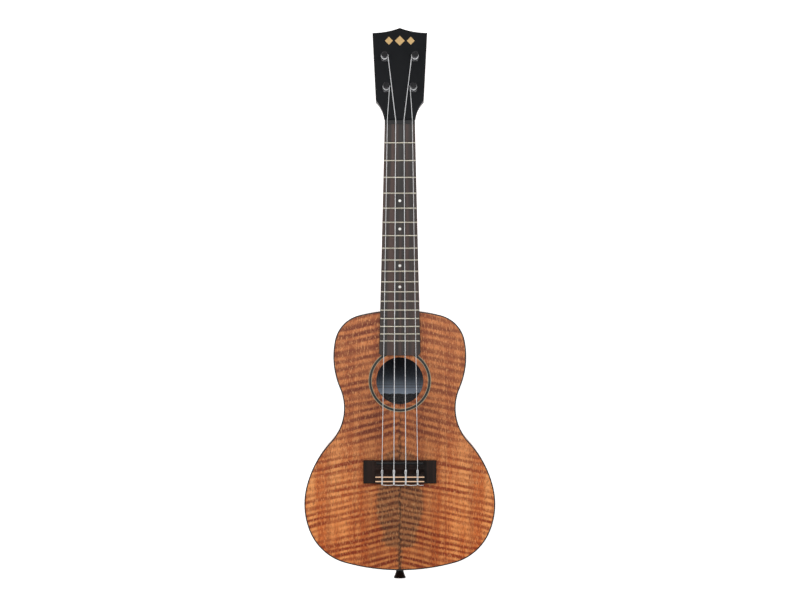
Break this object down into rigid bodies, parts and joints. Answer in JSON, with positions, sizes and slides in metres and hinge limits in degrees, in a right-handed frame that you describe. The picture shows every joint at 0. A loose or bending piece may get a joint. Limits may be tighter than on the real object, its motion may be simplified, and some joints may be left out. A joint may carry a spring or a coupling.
{
  "type": "ukulele",
  "caption": "Figure-eight wooden sound box with a round soundhole, fretted neck, pitched-back headstock, rear-facing friction pegs and strings tied over a rectangular bridge.",
  "frame": {"origin": "centre of the whole instrument's length and width, on the plane of its flat back", "axes": "+X to the treble side, +Y along the neck towards the headstock, +Z out of the soundboard; the instrument lies on its back"},
  "size_m": [0.217, 0.6299, 0.0763],
  "materials": {
    "top_wood": "satin lacquer, book-matched flamed figure",
    "body_wood": "satin lacquer",
    "binding_black": "satin",
    "inner_wood": "bare",
    "plate_wood": "bare",
    "rosette_cream": "satin",
    "rosette_black": "satin",
    "label_paper": "matte",
    "button_black": "gloss",
    "screw_black": "satin",
    "neck_wood": "satin lacquer",
    "cap_wood": "satin lacquer",
    "overlay_black": "satin black lacquer",
    "inlay_gold": "polished",
    "board_wood": "oiled",
    "bridge_wood": "oiled",
    "fret_metal": "polished",
    "nut_black": "satin",
    "pearl": "pearl",
    "tie_cream": "satin",
    "string_nylon": "clear white",
    "black_chrome": "black chrome",
    "knob_black": "gloss"
  },
  "bodies": {
    "instrument": {"back_bass_half": "body_wood", "back_binding": "binding_black", "back_braces": "inner_wood", "back_centre_strip": "inner_wood", "back_linings": "inner_wood", "back_treble_half": "body_wood", "bridge": "bridge_wood", "bridge_plate": "plate_wood", "fan_braces": "inner_wood", "fingerboard": "board_wood", "frets": "fret_metal", "front_bushings": "black_chrome", "headstock": "neck_wood", "headstock_inlay": "inlay_gold", "headstock_overlay": "overlay_black", "heel_cap": "cap_wood", "label": "label_paper", "lower_brace": "inner_wood", "neck": "neck_wood", "neck_block": "inner_wood", "neck_dowels": "plate_wood", "nut": "nut_black", "position_dots": "pearl", "rear_washers": "black_chrome", "rosette_band": "rosette_black", "rosette_inner_line": "rosette_cream", "rosette_outer_line": "rosette_cream", "saddle": "nut_black", "side_bass": "body_wood", "side_dots": "pearl", "side_treble": "body_wood", "soundboard_bass_half": "top_wood", "soundboard_treble_half": "top_wood", "strap_button": "button_black", "strap_button_screw": "screw_black", "string_a": "string_nylon", "string_c": "string_nylon", "string_e": "string_nylon", "string_g": "string_nylon", "tail_block": "inner_wood", "tie_block_strips": "tie_cream", "top_binding": "binding_black", "top_linings": "inner_wood", "upper_brace": "inner_wood"},
    "peg_g": {"peg_post_g": "black_chrome", "peg_knob_g": "knob_black", "peg_screw_g": "screw_black", "string_winding_g": "string_nylon"},
    "peg_c": {"peg_post_c": "black_chrome", "peg_knob_c": "knob_black", "peg_screw_c": "screw_black", "string_winding_c": "string_nylon"},
    "peg_e": {"peg_post_e": "black_chrome", "peg_knob_e": "knob_black", "peg_screw_e": "screw_black", "string_winding_e": "string_nylon"},
    "peg_a": {"peg_post_a": "black_chrome", "peg_knob_a": "knob_black", "peg_screw_a": "screw_black", "string_winding_a": "string_nylon"}
  },
  "joints": [
    {"name": "peg_g_turn", "type": "hinge", "parent": "instrument", "child": "peg_g", "pos_m": [-0.0154, 0.24384, 0.05783], "axis": [0, 0.225, 0.9744], "continuous": true},
    {"name": "peg_c_turn", "type": "hinge", "parent": "instrument", "child": "peg_c", "pos_m": [-0.0173, 0.2796, 0.04958], "axis": [0, 0.225, 0.9744], "continuous": true},
    {"name": "peg_e_turn", "type": "hinge", "parent": "instrument", "child": "peg_e", "pos_m": [0.0173, 0.2796, 0.04958], "axis": [0, 0.225, 0.9744], "continuous": true},
    {"name": "peg_a_turn", "type": "hinge", "parent": "instrument", "child": "peg_a", "pos_m": [0.0154, 0.24384, 0.05783], "axis": [0, 0.225, 0.9744], "continuous": true}
  ]
}
